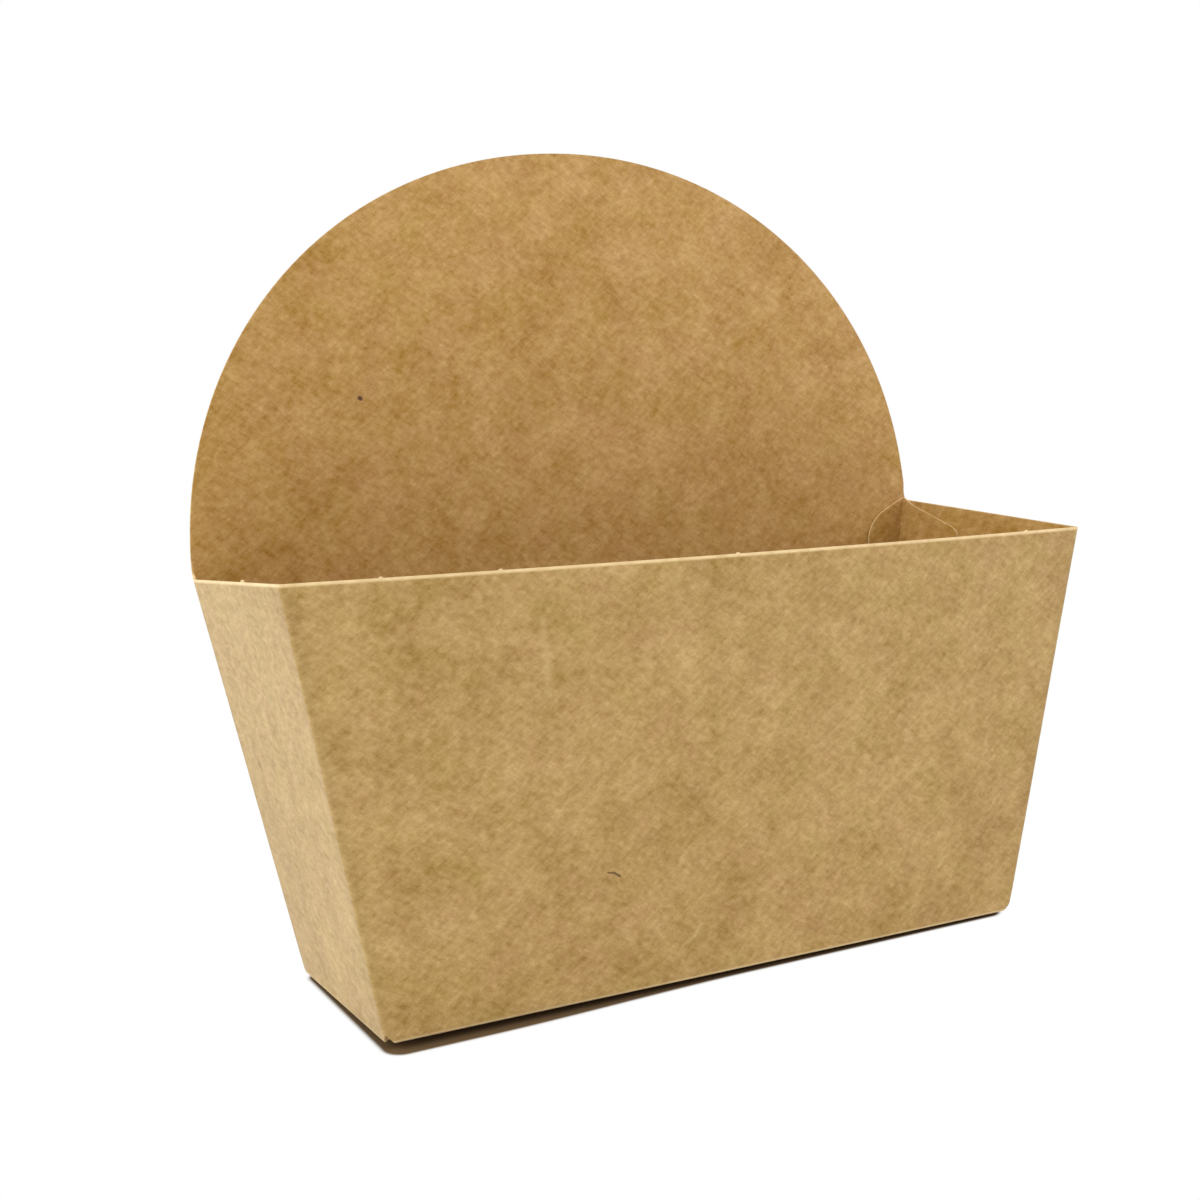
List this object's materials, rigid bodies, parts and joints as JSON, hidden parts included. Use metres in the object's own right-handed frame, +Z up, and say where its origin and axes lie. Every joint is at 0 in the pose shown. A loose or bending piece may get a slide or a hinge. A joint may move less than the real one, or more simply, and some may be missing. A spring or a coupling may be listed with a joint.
{
  "type": "paper food tray",
  "caption": "Folded kraft paperboard snack tray with flared walls and a tall half-round back panel.",
  "frame": {"origin": "centre of the base, on the surface that the tray stands on", "axes": "+Z up, +X along the length, to the right as seen from the front, +Y towards the tall back panel"},
  "size_m": [0.15, 0.0611, 0.1447],
  "materials": {
    "kraft_board": "matte"
  },
  "bodies": {
    "root": {"folded_tray": "kraft_board"}
  },
  "joints": []
}
